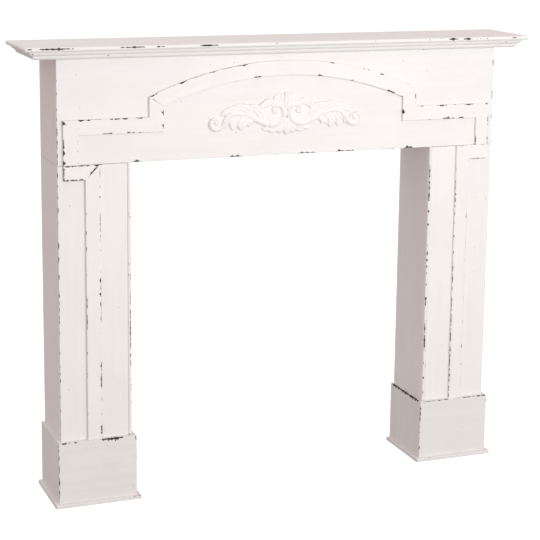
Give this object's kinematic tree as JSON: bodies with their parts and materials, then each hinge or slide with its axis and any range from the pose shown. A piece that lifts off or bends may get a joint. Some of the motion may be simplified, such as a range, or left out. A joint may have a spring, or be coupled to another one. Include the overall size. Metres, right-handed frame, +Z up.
{
  "type": "fireplace mantelpiece",
  "caption": "White painted wooden fireplace mantelpiece with panelled legs on plinths, raised mitred strips rising to an arch, a carved scroll and a stepped shelf.",
  "frame": {"origin": "on the floor, in the middle of the overall width and depth", "axes": "+X to the right along the shelf, +Y back to the wall, +Z up"},
  "size_m": [1.194, 0.185, 1.02],
  "materials": {
    "front_paint": "matt white paint rubbed through along the edges",
    "strip_paint": "matt white paint, chipped to dark wood on the arrises",
    "carving_paint": "thick matt white paint, lightly rubbed on the high points",
    "side_paint": "matt white paint",
    "foot_paint": "matt white paint, scuffed, with dark chips"
  },
  "bodies": {
    "root": {"shelf_board": "front_paint", "cornice_board": "front_paint", "header_front": "front_paint", "leg_front_left": "front_paint", "leg_front_right": "front_paint", "bead_left": "front_paint", "bead_right": "front_paint", "upright_strip_left": "strip_paint", "upright_strip_right": "strip_paint", "level_strip_left": "strip_paint", "level_strip_right": "strip_paint", "riser_strip_left": "strip_paint", "riser_strip_right": "strip_paint", "arch_strip": "strip_paint", "cap_strip_left": "strip_paint", "cap_strip_right": "strip_paint", "long_strip_left": "strip_paint", "long_strip_right": "strip_paint", "carving": "carving_paint", "header_side_left": "side_paint", "header_side_right": "side_paint", "header_bottom": "side_paint", "leg_outer_left": "side_paint", "leg_outer_right": "side_paint", "leg_inner_left": "side_paint", "leg_inner_right": "side_paint", "plinth_front_left": "foot_paint", "plinth_front_right": "foot_paint", "plinth_outer_left": "foot_paint", "plinth_outer_right": "foot_paint", "plinth_inner_left": "foot_paint", "plinth_inner_right": "foot_paint", "base_plate_left": "foot_paint", "base_plate_right": "foot_paint"}
  },
  "joints": []
}
